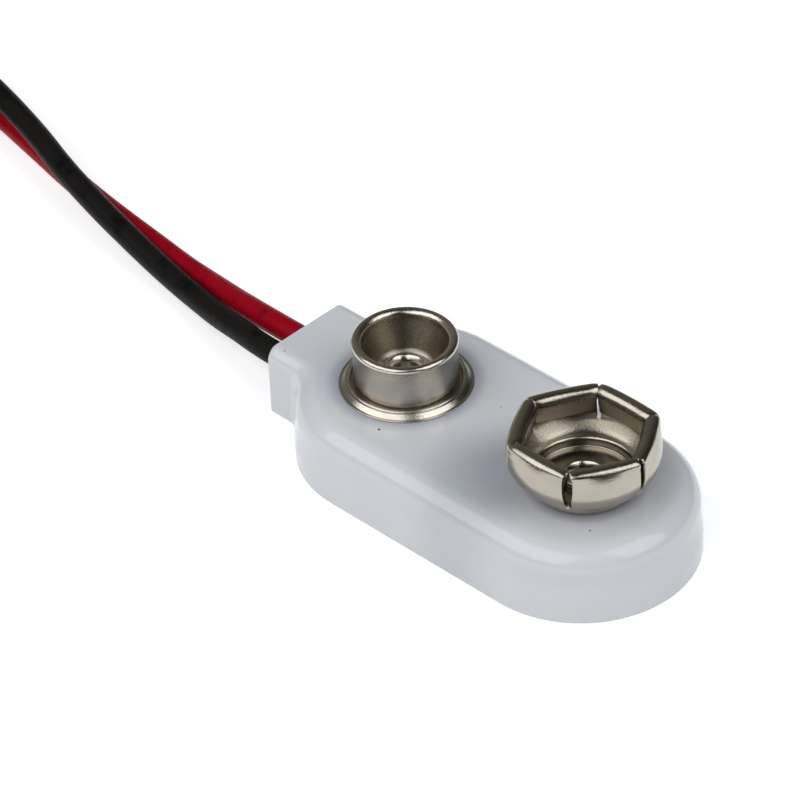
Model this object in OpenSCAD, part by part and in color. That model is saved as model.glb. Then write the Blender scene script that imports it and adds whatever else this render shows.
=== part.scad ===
// Battery snap for a 9 V block battery, with its two leads.
// A moulded body is cast round a carrier board. A drawn stud and a six-petal spring socket
// stand on its face, each held down through the board by a hollow eyelet, and each eyelet
// clinches a solder tag on the underside of the board.
// The body lies on its flat back on z = 0. The neck points to -X and the socket is at +X.
// The origin is under the middle of the body and its neck.

/* [Moulded body] */
// Width of the body at its base
body_w = 12.6; // [12:0.1:16]
// Thickness of the body
body_h = 4.4; // [4.2:0.1:6]
// Distance from the neck end of the body to the axis of the stud
stud_margin = 6; // [5.5:0.05:8]
// Distance from the axis of the socket to the far end of the body
socket_margin = 6.05; // [5.5:0.05:8]
// Radius along the upper edge of the body
top_round = 1.35; // [0.6:0.05:1.6]
// Radius along the edge of the back
base_round = 0.2; // [0.1:0.05:0.6]
// Height of the widest line of the sides above the back
widest_z = 1.1; // [0.7:0.05:1.4]
// Height above the back from which the sides go straight up
upright_z = 2.6; // [2:0.05:2.8]
// How far the sides come in between these two heights
side_draft = 0.12; // [0.05:0.01:0.3]
// Width of the neck
neck_w = 5.95; // [5.2:0.05:7.5]
// How far the neck stands out of the rounded end of the body
neck_len = 1.55; // [0.9:0.05:4]
// Height of the underside of the neck above the back
neck_lift = 0.2; // [0.1:0.05:0.7]
// Radius on the edges of the neck
neck_round = 0.15; // [0.1:0.05:0.6]
// Radius in the corner between the neck and the rounded end
neck_fillet = 0.8; // [0.3:0.05:1.2]

/* [Contacts] */
// Distance between the axes of the stud and the socket
snap_pitch = 12.7; // [12:0.1:15]
// Thickness of the contact sheet
sheet_t = 0.28; // [0.2:0.01:0.34]

/* [Stud] */
// Diameter of the straight post
stud_d = 5.6; // [5.2:0.05:5.9]
// How far the rolled rim stands out beyond the post, on each side
rim_proud = 0.05; // [0.02:0.01:0.12]
// Height of the stud above the face of the body
stud_h = 2.9; // [2.6:0.05:3.5]
// Radius over the outer side of the rolled rim
rim_roll = 0.22; // [0.18:0.01:0.28]
// Radius from the top of the rim into the bowl
rim_in = 0.34; // [0.28:0.01:0.4]
// Height of the flat bottom of the bowl above the face of the body
bowl_floor = 0.7; // [0.6:0.05:1]
// Radius between the bottom of the bowl and its wall
bowl_round = 0.5; // [0.3:0.05:0.7]
// Diameter of the flange
flange_d = 7.2; // [6.8:0.05:8]
// Height of the ridge of the flange
ridge_h = 0.36; // [0.3:0.02:0.5]
// Radius over the ridge of the flange
ridge_roll = 0.08; // [0.06:0.01:0.12]
// Radius of the groove between the post and the ridge
groove_r = 0.08; // [0.06:0.01:0.12]
// Height of the step outside the ridge
step_h = 0.3; // [0.2:0.02:0.34]
// Distance from the middle of the ridge to the outer side of the step
step_w = 0.2; // [0.12:0.02:0.24]
// Thickness of the brim at its edge
brim_t = 0.08; // [0.06:0.01:0.14]

/* [Socket] */
// Number of spring petals
petals = 6; // [5:1:8]
// Distance across opposite petals at the throat
throat_w = 5.68; // [5.3:0.02:5.9]
// Height of the socket above the face of the body
socket_h = 3.54; // [2.9:0.02:3.8]
// Outer radius of the roll at the top of each petal
petal_roll = 0.47; // [0.4:0.01:0.55]
// Lean of the petals away from upright where they meet their rolls, in degrees
petal_lean = 5; // [2:0.5:10]
// How far each petal stands out from its foot to its roll
petal_flare = 0.53; // [0.45:0.01:0.7]
// Length of the straight flap inside each petal
flap_len = 0.85; // [0.4:0.05:1.1]
// Height of the bottoms of the slits
slit_z = 1.05; // [0.95:0.05:1.3]
// Width of the slits at their bottoms
slit_w = 0.3; // [0.2:0.02:0.5]
// Width of the slits where the rolls begin
slit_wide_w = 0.4; // [0.3:0.02:0.6]
// Width of the slits between the rolls
slit_top_w = 0.12; // [0.06:0.02:0.3]
// Height of the upright wall of the well in the cup
well_h = 0.58; // [0.5:0.02:0.7]
// How far the feet of the petals stand out from the well
well_flare = 0.34; // [0.2:0.02:0.5]
// Radius of the bend between the floor and the well
cup_bend = 0.36; // [0.3:0.02:0.45]

/* [Eyelets, tags and board] */
// Outer diameter of the eyelets
eyelet_d = 1.7; // [1.4:0.05:2]
// Wall of the eyelets
eyelet_wall = 0.34; // [0.2:0.02:0.4]
// Diameter of the rolled heads
eyelet_head_d = 2.4; // [2.1:0.05:2.8]
// Diameter of the clinched tails
clinch_d = 2.6; // [2.2:0.05:2.8]
// Thickness of a clinched tail
clinch_t = 0.25; // [0.15:0.05:0.35]
// Thickness of the solder tags
tag_t = 0.25; // [0.15:0.05:0.35]
// Diameter of the round part of a tag
tag_d = 3.1; // [2.9:0.05:3.4]
// Width of the tail of a tag
tag_w = 1.3; // [1:0.05:1.5]
// Length of a tag from the eyelet's axis to the tip of its tail
tag_len = 4; // [3.5:0.1:4.4]
// Thickness of the carrier board
board_t = 0.8; // [0.5:0.05:1]
// Width of the carrier board
board_w = 8.4; // [7:0.1:9]
// Thickness of the moulding over the board
board_cover = 0.65; // [0.5:0.05:0.9]

/* [Leads] */
// Outer diameter of a lead
lead_d = 1.4; // [1.2:0.05:1.5]
// Diameter of the tinned strands
strand_d = 0.5; // [0.3:0.02:0.6]
// Distance between the two leads where they leave the neck
lead_pitch = 1.9; // [1.7:0.05:2.2]
// Length of the tinned end of each lead
tinned_len = 4; // [3:0.5:5]
// Size of a solder joint along its lead
solder_len = 1.5; // [1.2:0.1:1.8]

/* [Hidden] */

// Facets of round forms, and the steps used along bends and across petals
round_fn = 64;
small_fn = 32;
bend_steps = 7;
wall_steps = 6;
petal_steps = 6;

// Places along the body
total_len = neck_len + stud_margin + snap_pitch + socket_margin;
neck_x = -total_len / 2;
body_x = neck_x + neck_len;
stud_x = body_x + stud_margin;
socket_x = stud_x + snap_pitch;
end_r = body_w / 2;
end_xs = [body_x + end_r, -neck_x - end_r];

// Heights of the layers inside the body
board_top = body_h - board_cover;
board_z = board_top - board_t;
tag_z = board_z - tag_t;
clinch_z = tag_z - clinch_t;

// Radii
lead_r = lead_d / 2;
strand_r = strand_d / 2;
eyelet_r = eyelet_d / 2;
post_r = stud_d / 2;
rim_r = post_r + rim_proud;
bowl_r = rim_r - rim_roll - rim_in;
clinch_r = clinch_d / 2;
tag_r = tag_d / 2;

// The round bottom of the bowl leaves a flat seat for the head of the eyelet
seat_gap = 0.02;
seat_r = eyelet_head_d / 2 + seat_gap;

// The leads run just under the board, side by side
layer_gap = 0.05;
lead_y = lead_pitch / 2;
lead_z = board_z - lead_r - layer_gap;

// Slope of the brim below its step, in degrees
brim_slope = 45;

// Leads inside the body: the red one passes beside the clinched tail of the stud's eyelet
pass_gap = 0.45;
pass_y = clinch_r + lead_r + pass_gap;
root_in = 2.6;
bend_run = 2;
tag_grip = 0.4;
strand_in = 2;
black_root = [
    [neck_x, -lead_y],
    [stud_x - tag_len - tag_grip, -lead_y]
];
red_root = [
    [neck_x, lead_y],
    [neck_x + root_in, lead_y],
    [neck_x + root_in + bend_run, pass_y],
    [stud_x + clinch_r + bend_run, pass_y],
    [stud_x + clinch_r + 2 * bend_run, lead_y],
    [socket_x - tag_len - tag_grip, lead_y]
];

// Free leads: each point is its place along X and Y, and its lift above lying on the surface.
// The first point of each route is where the lead leaves the neck.
red_route = [
    [-14.6, 0.95, 1.5], [-16, 1, 1.45], [-17.4, 1.15, 1.3], [-18.9, 1.4, 1.05],
    [-20.6, 1.75, 0.7], [-22.3, 2.1, 0.4], [-23.9, 2.4, 0.15], [-25.6, 2.65, 0],
    [-28.4, 3, 0], [-31.2, 3.35, 0], [-34, 3.75, 0], [-36.8, 4.25, 0],
    [-39.6, 4.85, 0], [-42.4, 5.45, 0], [-45.2, 6.05, 0], [-48.6, 6.85, 0], [-51.6, 7.35, 0]
];
black_route = [
    [-14.6, -0.95, 1.5], [-15.8, -0.85, 1.42], [-17.9, -0.45, 1.15], [-20, 0, 0.8],
    [-22.2, 0.55, 0.5], [-24.8, 1.1, 0.37], [-26.8, 1.45, 0.47], [-29.7, 1.95, 0.75],
    [-31.5, 2.3, 0.9], [-34.4, 2.95, 1.15], [-36.8, 3.6, 1.3], [-39.4, 4.45, 1.4],
    [-42.2, 5.3, 1.42], [-45.2, 6.1, 1.42], [-48.6, 6.85, 1.42], [-51.6, 7.35, 1.42]
];

// The coil that holds the rest of each lead: a flat spiral of two turns, the black one on
// top of the red one, and a short tail that curls into its middle
coil_at = [-53.3, -1.7];
coil_start = 85;
coil_turns = 2;
turn_gap = 0.05;
coil_mid_r = 5.5 * lead_d;
coil_pitch = lead_d + turn_gap;
coil_out_r = coil_mid_r + coil_turns * coil_pitch / 2;
coil_in_r = coil_mid_r - coil_turns * coil_pitch / 2;
tail_r = 2.5 * lead_d;
tail_step = 27.5;
red_tail_steps = 4;
black_tail_steps = 3;

// Points of a bend of a sheet: place and outward normal of its middle surface
function bend(c, r, a0, a1, side = 1) = [
    for (i = [0:bend_steps])
        let (a = a0 + (a1 - a0) * i / bend_steps)
        [c[0] + r * cos(a), c[1] + r * sin(a), side * cos(a), side * sin(a)]
];

// The petals start a little below the slits, inside the cup's wall
root_sink = 0.15;

// Middle surface of the socket's sheet, in radius and height above the body's face: floor,
// well, flare, the pillowed wall of a petal, the roll at its top and the straight flap
roll_mid = petal_roll - sheet_t / 2;
roll_c = [throat_w / 2 + petal_roll, socket_h - petal_roll];
wall_top = roll_c + roll_mid * [cos(petal_lean), -sin(petal_lean)];
wall_foot = [wall_top[0] - petal_flare, slit_z - root_sink];

// The wall is an arc that runs on from the roll without a kink
wall_chord = wall_top - wall_foot;
wall_turn = 2 * (atan(wall_chord[0] / wall_chord[1]) - petal_lean);
wall_r = norm(wall_chord) / 2 / sin(wall_turn / 2);
wall_c = wall_top - wall_r * [cos(petal_lean), -sin(petal_lean)];
function wall_at(z) =
    let (a = asin((wall_c[1] - z) / wall_r))
    [wall_c[0] + wall_r * cos(a), z, cos(a), -sin(a)];

// A point of the sheet where it turns sharply from facing one way to facing another
function crease(x, z, from, to) =
    let (mid = (from + to) / 2, stretch = 1 / cos((to - from) / 2))
    [x, z, stretch * cos(mid), stretch * sin(mid)];

floor_z = sheet_t / 2;
bend_mid = cup_bend - sheet_t / 2;
well_x = wall_foot[0] - well_flare;
flare_a = atan((wall_foot[1] - well_h) / well_flare) - 90;
cup_path = concat(
    [[eyelet_r, floor_z, 0, -1]],
    bend([well_x - bend_mid, floor_z + bend_mid], bend_mid, -90, 0),
    [
        crease(well_x, well_h, 0, flare_a),
        crease(wall_foot[0], wall_foot[1], flare_a, -petal_lean - wall_turn),
        wall_at(slit_z)
    ]
);

// The sheet turns through this angle over the roll, from upright on its outer side
flap_turn = 190;
flap_d = [-sin(flap_turn), cos(flap_turn)];
flap_top = [roll_c[0] + roll_mid * cos(flap_turn), roll_c[1] + roll_mid * sin(flap_turn)];
petal_path = concat(
    [
        for (i = [0:wall_steps])
            wall_at(wall_foot[1] + wall_chord[1] * i / (wall_steps + 1))
    ],
    bend(roll_c, roll_mid, -petal_lean, flap_turn),
    [
        [
            flap_top[0] + flap_len * flap_d[0],
            flap_top[1] + flap_len * flap_d[1],
            cos(flap_turn),
            sin(flap_turn)
        ]
    ]
);

// The cup is round at the slits and the petals are flat at the roll
function flatness(z) =
    let (s = min(1, max(0, (z - slit_z) / (wall_top[1] - slit_z))))
    s * s * (3 - 2 * s);
function slit_at(z) =
    lookup(z, [[slit_z, slit_w], [roll_c[1], slit_wide_w], [roll_c[1] + roll_mid, slit_top_w]]);

// One side of a sheet path as a plain list of radius and height
function offset_path(path, by) = [for (p = path) [p[0] + by * p[2], p[1] + by * p[3]]];
function reversed(list) = [for (i = [len(list) - 1:-1:0]) list[i]];
function sheet_outline(path, t) =
    concat(offset_path(path, t / 2), reversed(offset_path(path, -t / 2)));

// A point on a petal: radius and height on the sheet, swung sideways by a share of the sector
function petal_point(rz, flat, slit, share) =
    let (
        half = 180 / petals,
        corner = rz[0] / cos(half * flat),
        reach = half - asin(slit / 2 / corner),
        a = share * reach,
        r = rz[0] * ((1 - flat) + flat / cos(a))
    )
    [r * cos(a), r * sin(a), rz[1]];

// Rings of points and the faces of a closed tube through them
function tube_faces(rings, sides) = concat(
    [[for (j = [0:sides - 1]) j]],
    [
        for (i = [0:rings - 2], j = [0:sides - 1])
            let (
                k = (j + 1) % sides,
                a = i * sides,
                b = a + sides
            )
            each [[a + j, b + j, b + k], [a + j, b + k, a + k]]
    ],
    [[for (j = [sides - 1:-1:0]) (rings - 1) * sides + j]]
);

function unit(v) = v / norm(v);
function heading(path, i) =
    unit(path[min(i + 1, len(path) - 1)] - path[max(i - 1, 0)]);

// Points of a lead: its route with the lift turned into a height
function laid(route, side) = concat(
    [[neck_x, side * lead_y, lead_z]],
    [for (p = route) [p[0], p[1], lead_r + p[2]]]
);

// The tail inside the coil: a tight left-hand curl that starts at the coil's inner turn
tail_c = coil_at + (coil_in_r - tail_r) * [cos(coil_start), sin(coil_start)];
function tail(steps, lift) = [
    for (i = [0:steps])
        let (a = coil_start + i * tail_step)
        [tail_c[0] + tail_r * cos(a), tail_c[1] + tail_r * sin(a), lead_r + lift]
];

// A lead's plain round run through points, with a flat start
module lead_tube(path, sides = 8) {
    ring = [
        for (i = [0:len(path) - 1])
            let (
                d = i == 0 ? unit([path[1][0] - path[0][0], 0, 0]) : heading(path, i),
                across = unit(cross(d, [0, 0, 1])),
                upward = cross(across, d)
            )
            for (j = [0:sides - 1])
                let (a = 360 * (j + 0.5) / sides)
                path[i] + lead_r * (cos(a) * across + sin(a) * upward)
    ];
    polyhedron(ring, tube_faces(len(path), sides));
}

module lead_tail(path, sides = 8) {
    ring = [
        for (i = [0:len(path) - 1])
            let (
                a = coil_start + i * tail_step,
                across = [cos(a), sin(a), 0]
            )
            for (j = [0:sides - 1])
                let (b = 360 * (j + 0.5) / sides)
                path[i] + lead_r * (cos(b) * across + sin(b) * [0, 0, 1])
    ];
    polyhedron(ring, tube_faces(len(path), sides));
}

// A round bar along points at one height, with a ball at each bend
module bar_run(points, z, r) {
    for (i = [0:len(points) - 2]) {
        step = points[i + 1] - points[i];
        translate([points[i][0], points[i][1], z])
            rotate([0, 90, atan2(step[1], step[0])])
                cylinder(h = norm(step), r = r, $fn = small_fn);
    }
    for (i = [1:1:len(points) - 2])
        translate([points[i][0], points[i][1], z])
            sphere(r = r, $fn = small_fn);
}

// Half of the body's section: its sides bulge out to one widest line, low down
module half_section() {
    side_r = end_r - side_draft;
    polygon([
        [0, 0],
        [end_r - base_round, 0],
        [end_r - base_round, base_round],
        [end_r, base_round],
        [end_r, widest_z],
        [side_r, upright_z],
        [side_r, body_h - top_round],
        [side_r - top_round, body_h - top_round],
        [side_r - top_round, body_h],
        [0, body_h]
    ]);
    translate([end_r - base_round, base_round])
        circle(r = base_round, $fn = round_fn);
    translate([side_r - top_round, body_h - top_round])
        circle(r = top_round, $fn = round_fn);
}

// The stadium of the body: the section swept straight, and turned at each end
module body_slab() {
    for (x = end_xs)
        translate([x, 0, 0])
            rotate_extrude($fn = round_fn)
                half_section();
    translate([end_xs[0], 0, 0])
        rotate([90, 0, 90])
            linear_extrude(end_xs[1] - end_xs[0]) {
                half_section();
                mirror([1, 0])
                    half_section();
            }
}

// A rectangle with rounded corners, from its low corner
module soft_rect(size, r) {
    translate([r, 0])
        square([size[0] - 2 * r, size[1]]);
    translate([0, r])
        square([size[0], size[1] - 2 * r]);
    for (x = [r, size[0] - r], y = [r, size[1] - r])
        translate([x, y])
            circle(r = r, $fn = small_fn);
}

// The neck is rounded in plan, from the front and from the side
module neck_block() {
    reach = end_xs[0] - neck_x;
    tall = body_h - neck_lift;
    intersection() {
        translate([neck_x, -neck_w / 2, neck_lift])
            linear_extrude(tall)
                soft_rect([reach, neck_w], neck_round);
        translate([neck_x, 0, 0])
            rotate([90, 0, 90])
                linear_extrude(reach)
                    translate([-neck_w / 2, neck_lift])
                        soft_rect([neck_w, tall], neck_round);
        translate([neck_x, neck_w / 2, neck_lift])
            rotate([90, 0, 0])
                linear_extrude(neck_w)
                    soft_rect([reach, tall], neck_round);
    }
}

// Fillets between the sides of the neck and the rounded end of the body
module neck_webs() {
    r = end_r - side_draft;
    f = [
        end_xs[0] - sqrt(pow(r + neck_fillet, 2) - pow(neck_w / 2 + neck_fillet, 2)),
        neck_w / 2 + neck_fillet
    ];
    c = [end_xs[0], 0];
    touch = c + r * unit(f - c);
    translate([0, 0, neck_lift + neck_round])
        linear_extrude(body_h - top_round - neck_lift - neck_round)
            for (m = [0, 1])
                mirror([0, m])
                    difference() {
                        polygon([c, touch, f, [f[0], neck_w / 2]]);
                        translate(f)
                            circle(r = neck_fillet, $fn = small_fn);
                    }
}

module board_plan() {
    for (x = [stud_x, socket_x])
        translate([x, 0])
            circle(r = board_w / 2, $fn = round_fn);
    translate([stud_x, -board_w / 2])
        square([snap_pitch, board_w]);
}

// Plan of a solder tag round its eyelet, with a tail towards the neck
module tag_plan(side) {
    circle(r = tag_r, $fn = small_fn);
    translate([-tag_len, side * lead_y - tag_w / 2])
        square([tag_len, tag_w]);
}

// A solder joint hangs from the tail of its tag and takes in the end of the strands
module solder_drop(x, side) {
    r = (tag_w - tag_t) / 2;
    drop = tag_z - lead_z + strand_r;
    translate([x - tag_len + tag_grip, side * lead_y, tag_z - drop])
        linear_extrude(drop) {
            for (at = [r, solder_len - r])
                translate([at, 0])
                    circle(r = r, $fn = small_fn);
            translate([r, -r])
                square([solder_len - 2 * r, 2 * r]);
        }
}

module root_shape(points) {
    last = points[len(points) - 1];
    bar_run(points, lead_z, lead_r);
    translate([last[0], last[1], lead_z])
        rotate([0, 90, 0])
            cylinder(h = strand_in, r = strand_r, $fn = small_fn);
}

// What the moulding is cast round
module insert_space() {
    translate([0, 0, board_z])
        linear_extrude(board_t)
            board_plan();
    for (s = [[stud_x, -1], [socket_x, 1]]) {
        translate([s[0], 0, tag_z])
            linear_extrude(tag_t)
                tag_plan(s[1]);
        translate([s[0], 0, clinch_z])
            cylinder(h = clinch_t, r = clinch_r, $fn = small_fn);
        translate([s[0], 0, clinch_z])
            cylinder(h = body_h, r = eyelet_r, $fn = small_fn);
        solder_drop(s[0], s[1]);
    }
    root_shape(black_root);
    root_shape(red_root);
}

module body_moulding() {
    color("aliceblue")
        difference() {
            union() {
                body_slab();
                neck_block();
                neck_webs();
            }
            insert_space();
        }
}

module carrier_board() {
    color("peru")
        translate([0, 0, board_z])
            linear_extrude(board_t)
                difference() {
                    board_plan();
                    for (x = [stud_x, socket_x])
                        translate([x, 0])
                            circle(r = eyelet_r, $fn = small_fn);
                }
}

// Section of the foot of the stud: the groove, the rolled ridge, a step, and the brim that
// slopes down to a thin round edge
module foot_section() {
    edge_r = brim_t / 2;
    edge_x = flange_d / 2 - edge_r;
    groove_c = [post_r + groove_r, brim_t + groove_r];
    ridge_c = [post_r + 2 * groove_r + ridge_roll, ridge_h - ridge_roll];
    step_x = ridge_c[0] + step_w;
    difference() {
        translate([post_r - sheet_t, 0])
            square([ridge_c[0] - post_r + sheet_t, groove_c[1]]);
        translate(groove_c)
            circle(r = groove_r, $fn = small_fn);
    }
    translate(ridge_c)
        circle(r = ridge_roll, $fn = small_fn);
    polygon([
        [ridge_c[0] - ridge_roll, 0],
        [edge_x, 0],
        [edge_x, brim_t],
        [step_x + (step_h - brim_t) / tan(brim_slope), brim_t],
        [step_x, step_h],
        [ridge_c[0], step_h],
        ridge_c,
        ridge_c - [ridge_roll, 0]
    ]);
    translate([edge_x, edge_r])
        circle(r = edge_r, $fn = small_fn);
}

// Section of the stud: foot, straight post, rolled rim, and a bowl whose wall runs straight
// from the rim to the round at its bottom
module stud_section() {
    rim_c = [rim_r - rim_roll, stud_h - rim_roll];
    in_edge = [bowl_r, stud_h - rim_in];
    turn_c = [seat_r, bowl_floor + bowl_round];
    reach = in_edge - turn_c;
    wall_a = atan2(reach[1], reach[0]) - acos(bowl_round / norm(reach));
    way = [cos(wall_a), sin(wall_a)];
    foot_section();
    translate([post_r - sheet_t, 0])
        square([sheet_t, rim_c[1]]);
    translate(rim_c)
        circle(r = rim_roll, $fn = small_fn);
    intersection() {
        translate(in_edge + [rim_in, 0])
            circle(r = rim_in, $fn = small_fn);
        translate(in_edge - [0, rim_in])
            square([rim_in, 2 * rim_in]);
    }
    difference() {
        bowl_side(turn_c, bowl_round + sheet_t, way, [
            in_edge + sheet_t * way,
            [post_r - sheet_t / 2, in_edge[1]],
            [0, in_edge[1]]
        ]);
        bowl_side(turn_c, bowl_round, way, [in_edge, [0, in_edge[1]]]);
        square([eyelet_r, in_edge[1]]);
    }
}

// The bowl filled up from one side of its sheet: flat bottom, round, and wall up to the top
module bowl_side(c, r, way, top) {
    polygon(concat([[0, c[1] - r], [c[0], c[1] - r], c + r * way], top));
    translate(c)
        circle(r = r, $fn = round_fn);
}

module snap_stud() {
    color("gainsboro")
        translate([stud_x, 0, body_h])
            rotate_extrude($fn = round_fn)
                stud_section();
}

// One petal, lofted from the round cup to a flat side and over its roll. Its root is a
// little thinner than the cup's wall, in which it ends.
module petal() {
    slim = 0.02;
    rows = len(petal_path);
    cols = petal_steps + 1;
    function skin(side) = [
        for (i = [0:rows - 1], j = [0:petal_steps])
            let (
                p = petal_path[i],
                by = side * (sheet_t / 2 - (i < 2 ? slim : 0)),
                flat = i > wall_steps ? 1 : flatness(p[1]),
                slit = p[2] > 0 ? slit_at(p[1]) : slit_top_w
            )
            petal_point([p[0] + by * p[2], p[1] + by * p[3]], flat, slit, 2 * j / petal_steps - 1)
    ];
    // Points of the outer skin come first, then those of the inner skin
    all = concat(skin(1), skin(-1));
    in0 = rows * cols;
    faces = concat(
        [
            for (i = [0:rows - 2], j = [0:petal_steps - 1])
                let (
                    a = i * cols + j,
                    b = a + cols
                )
                each [
                    [a, b, b + 1], [a, b + 1, a + 1],
                    [in0 + a, in0 + b + 1, in0 + b], [in0 + a, in0 + a + 1, in0 + b + 1]
                ]
        ],
        [
            for (i = [0:rows - 2], e = [0, 1])
                let (
                    a = i * cols + e * petal_steps,
                    b = a + cols
                )
                each (e == 0
                    ? [[a, in0 + b, b], [a, in0 + a, in0 + b]]
                    : [[a, b, in0 + b], [a, in0 + b, in0 + a]])
        ],
        [
            for (j = [0:petal_steps - 1], e = [0, 1])
                let (a = e * (rows - 1) * cols + j)
                each (e == 0
                    ? [[a, a + 1, in0 + a + 1], [a, in0 + a + 1, in0 + a]]
                    : [[a, in0 + a + 1, a + 1], [a, in0 + a, in0 + a + 1]])
        ]
    );
    polyhedron(all, faces);
}

module snap_socket() {
    color("gainsboro")
        translate([socket_x, 0, body_h]) {
            rotate_extrude($fn = round_fn)
                polygon(sheet_outline(cup_path, sheet_t));
            for (k = [0:petals - 1])
                rotate([0, 0, (k + 0.5) * 360 / petals])
                    petal();
        }
}

// A hollow eyelet from its clinched tail to its rolled head on a seat
module eyelet(seat) {
    roll = (eyelet_head_d / 2 - eyelet_r + eyelet_wall) / 2;
    bore = eyelet_r - eyelet_wall;
    rotate_extrude($fn = small_fn) {
        translate([bore, clinch_z])
            square([eyelet_wall, seat - clinch_z]);
        translate([bore, clinch_z])
            square([clinch_r - bore, clinch_t]);
        intersection() {
            translate([bore + roll, seat])
                circle(r = roll, $fn = small_fn);
            translate([bore, seat])
                square([2 * roll, roll]);
        }
    }
}

module stud_eyelet() {
    color("silver")
        translate([stud_x, 0, 0])
            eyelet(body_h + bowl_floor);
}

module socket_eyelet() {
    color("silver")
        translate([socket_x, 0, 0])
            eyelet(body_h + sheet_t);
}

module tag(x, side) {
    color("goldenrod")
        translate([x, 0, tag_z])
            linear_extrude(tag_t)
                difference() {
                    tag_plan(side);
                    circle(r = eyelet_r, $fn = small_fn);
                }
}

module stud_tag() {
    tag(stud_x, -1);
}

module socket_tag() {
    tag(socket_x, 1);
}

// A solder joint is solid metal round the strands that it holds
module solder(x, side, root) {
    color("lightgrey")
        difference() {
            solder_drop(x, side);
            root_shape(root);
        }
}

module stud_solder() {
    solder(stud_x, -1, black_root);
}

module socket_solder() {
    solder(socket_x, 1, red_root);
}

module black_lead_root() {
    color("black")
        root_shape(black_root);
}

module red_lead_root() {
    color("firebrick")
        root_shape(red_root);
}

module black_lead() {
    color("black") {
        lead_tube(laid(black_route, -1));
        lead_tail(tail(black_tail_steps, lead_d));
    }
}

module red_lead() {
    color("firebrick") {
        lead_tube(laid(red_route, 1));
        lead_tail(tail(red_tail_steps, 0));
    }
}

// The outer shape of one coil: a flat ring as thick as its lead
module coil_ring(lift) {
    translate([coil_at[0], coil_at[1], lift])
        rotate_extrude($fn = round_fn) {
            translate([coil_in_r, 0])
                square([coil_out_r - coil_in_r, lead_d]);
            for (r = [coil_in_r, coil_out_r])
                translate([r, lead_r])
                    circle(r = lead_r, $fn = small_fn);
        }
}

module black_coil() {
    color("black")
        coil_ring(lead_d);
}

module red_coil() {
    color("firebrick")
        coil_ring(0);
}

// The tinned strands go straight on from the end of a tail
module tip(steps, lift) {
    path = tail(steps, lift);
    a = coil_start + steps * tail_step;
    translate(path[steps])
        rotate([0, 90, a + 90])
            cylinder(h = tinned_len, r = strand_r, $fn = small_fn);
}

module black_tip() {
    color("silver")
        tip(black_tail_steps, lead_d);
}

module red_tip() {
    color("silver")
        tip(red_tail_steps, 0);
}

body_moulding();
carrier_board();
snap_stud();
snap_socket();
stud_eyelet();
socket_eyelet();
stud_tag();
socket_tag();
stud_solder();
socket_solder();
black_lead_root();
red_lead_root();
black_lead();
red_lead();
black_coil();
red_coil();
black_tip();
red_tip();
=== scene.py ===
import math

import bpy
from mathutils import Matrix, Vector, geometry


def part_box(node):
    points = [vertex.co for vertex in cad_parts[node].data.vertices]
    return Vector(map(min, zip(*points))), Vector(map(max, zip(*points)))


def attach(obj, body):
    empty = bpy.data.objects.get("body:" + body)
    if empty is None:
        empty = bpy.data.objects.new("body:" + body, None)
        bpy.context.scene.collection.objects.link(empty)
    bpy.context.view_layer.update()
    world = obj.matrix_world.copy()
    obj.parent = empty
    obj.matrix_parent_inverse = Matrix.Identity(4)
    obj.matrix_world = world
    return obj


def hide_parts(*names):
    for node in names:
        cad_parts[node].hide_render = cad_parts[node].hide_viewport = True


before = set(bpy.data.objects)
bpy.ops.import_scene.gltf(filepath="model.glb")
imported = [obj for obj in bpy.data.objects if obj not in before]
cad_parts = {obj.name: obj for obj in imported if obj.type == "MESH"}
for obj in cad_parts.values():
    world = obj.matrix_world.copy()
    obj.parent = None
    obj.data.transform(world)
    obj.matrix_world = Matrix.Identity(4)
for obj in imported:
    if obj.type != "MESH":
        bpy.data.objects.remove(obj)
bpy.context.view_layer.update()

scene = bpy.context.scene

# Camera
# A long lens stands close over the table, on the side of the socket, and looks down along
# the body towards the neck. It is turned a little about its own axis.
mm = 0.001
camera_at = Vector((134.318, -137.306, 156.189)) * mm
camera_aim = Vector((-4.7405, -1.3858, 4.4)) * mm
camera_roll = math.radians(-2.549)
camera_data = bpy.data.cameras.new("camera")
camera_data.sensor_width = 36
camera_data.lens = 211.19
camera_data.clip_start = 0.01
camera = bpy.data.objects.new("camera", camera_data)
scene.collection.objects.link(camera)
look = (camera_aim - camera_at).to_track_quat("-Z", "Y").to_matrix().to_4x4()
camera.matrix_world = Matrix.Translation(camera_at) @ look @ Matrix.Rotation(camera_roll, 4, "Z")
bpy.context.scene.camera = camera
scene.view_settings.view_transform = "Standard"

# Leads
# Two stranded leads in soft PVC leave the neck side by side. The red one comes down to the
# table, the black one leans on it and then rides on it. Each ends in a small coil with a
# short tail, and the black coil lies on the red one.
lead_d = 1.4
lead_r = lead_d / 2
# Leads and petals are drawn this far inside the CAD's box
inside_box = 0.006
lead_exits = {"red": (-13.15, 0.95, 2.2), "black": (-13.15, -0.95, 2.2)}
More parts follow.
